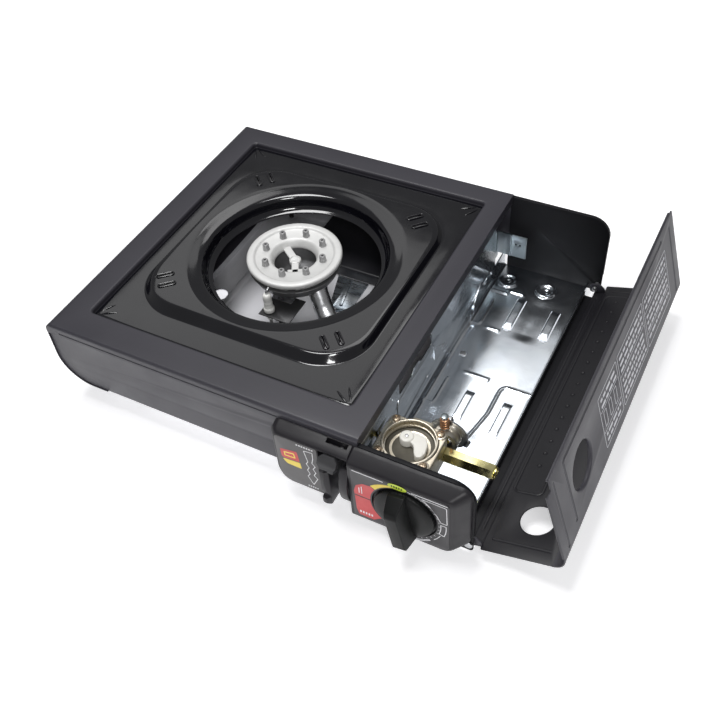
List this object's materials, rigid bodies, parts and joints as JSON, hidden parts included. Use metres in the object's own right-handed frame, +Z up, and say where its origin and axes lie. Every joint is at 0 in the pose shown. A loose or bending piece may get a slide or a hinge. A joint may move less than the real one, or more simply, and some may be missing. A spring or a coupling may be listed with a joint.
{
  "type": "portable gas stove",
  "caption": "Portable tabletop gas stove with one burner, a cartridge bay under a hinged L-shaped cover, a rotary control knob and a cartridge lock lever.",
  "frame": {"origin": "centre of the overall box at rest, on the surface that the feet stand on", "axes": "+Z up, +X from the burner towards the cartridge bay, the control panel faces -Y"},
  "size_m": [0.3992, 0.3034, 0.0996],
  "materials": {
    "casing_paint": "satin powder coat",
    "black_paint": "satin",
    "enamel": "gloss enamel",
    "galvanised": "bright",
    "plated_steel": "satin",
    "burner_aluminium": "matte",
    "burner_dark": "matte",
    "diecast": "satin",
    "brass": "satin",
    "copper_wire": "satin",
    "black_plastic": "fine texture",
    "white_plastic": "smooth",
    "print_plate": "printed",
    "rubber": "matte",
    "ceramic": "glazed",
    "lead_sleeve": "matte"
  },
  "bodies": {
    "stove_body": {"top_casing": "casing_paint", "front_skirt": "casing_paint", "rear_skirt": "casing_paint", "bottom_pan": "galvanised", "rear_crossmember": "black_paint", "feet": "rubber", "cartridge_tray": "galvanised", "bay_sill": "black_paint", "front_end_plate": "black_paint", "rear_end_wall": "black_paint", "heat_plate": "galvanised", "burner_head": "burner_aluminium", "burner_base": "burner_dark", "burner_bracket": "plated_steel", "venturi_tube": "plated_steel", "gas_jet": "brass", "electrode": "plated_steel", "electrode_insulator": "ceramic", "electrode_bracket": "plated_steel", "ignition_lead": "lead_sleeve", "piezo_body": "white_plastic", "regulator_body": "diecast", "diaphragm": "rubber", "diaphragm_cover": "diecast", "rocker_pin": "plated_steel", "spring_post": "plated_steel", "cutoff_spring": "copper_wire", "locating_flange": "plated_steel", "inlet_seal": "rubber", "inlet_nozzle": "brass", "relief_cylinder": "brass", "regulator_screws": "plated_steel", "valve_seal": "rubber", "control_panel": "black_plastic", "dial_plate": "print_plate", "label_plate": "print_plate", "lever_guard": "black_plastic", "lever_bracket": "plated_steel", "lever_pin": "plated_steel", "slide_rivets": "plated_steel", "cover_hinge_pins": "plated_steel", "casing_screws": "plated_steel"},
    "cover": {"cover": "casing_paint"},
    "knob": {"knob": "black_plastic", "valve_shaft": "plated_steel", "knob_cam": "white_plastic"},
    "lock_lever": {"lock_lever": "black_plastic", "crank_pin": "plated_steel"},
    "clamp_slide": {"clamp_slide": "plated_steel"},
    "pan_support": {"pan_support": "enamel", "pan_arms": "enamel"},
    "regulator_rocker": {"regulator_rocker": "white_plastic"},
    "piezo_plunger": {"piezo_plunger": "white_plastic"}
  },
  "joints": [
    {"name": "cover_hinge", "type": "hinge", "parent": "stove_body", "child": "cover", "pos_m": [0.13638, 0.01425, 0.01], "axis": [0, -1, 0], "range_deg": [0, 74]},
    {"name": "knob_turn", "type": "hinge", "parent": "stove_body", "child": "knob", "pos_m": [0.09638, -0.13325, 0.038], "axis": [0, -1, 0], "range_deg": [0, 120]},
    {"name": "piezo_press", "type": "slide", "parent": "stove_body", "child": "piezo_plunger", "axis": [-1, 0, 0], "range_m": [0, 0.004]},
    {"name": "lever_press", "type": "hinge", "parent": "stove_body", "child": "lock_lever", "pos_m": [0.04538, -0.10125, 0.039], "axis": [1, 0, 0], "range_deg": [0, 50]},
    {"name": "clamp_travel", "type": "slide", "parent": "stove_body", "child": "clamp_slide", "axis": [0, -1, 0], "range_m": [0, 0.00689]},
    {"name": "pan_support_lift", "type": "slide", "parent": "stove_body", "child": "pan_support", "axis": [0, 0, 1], "range_m": [0, 0.06]},
    {"name": "rocker_tilt", "type": "hinge", "parent": "stove_body", "child": "regulator_rocker", "pos_m": [0.07538, -0.08675, 0.046], "axis": [0, 0, -1], "range_deg": [0, 8], "stiffness_Nm_per_rad": 0.02}
  ],
  "couplings": [
    {"joint": "piezo_press", "follows": "knob_turn", "m_per_rad": 0.0019098},
    {"joint": "lever_press", "follows": "clamp_travel", "rad_per_m": 126.58}
  ]
}
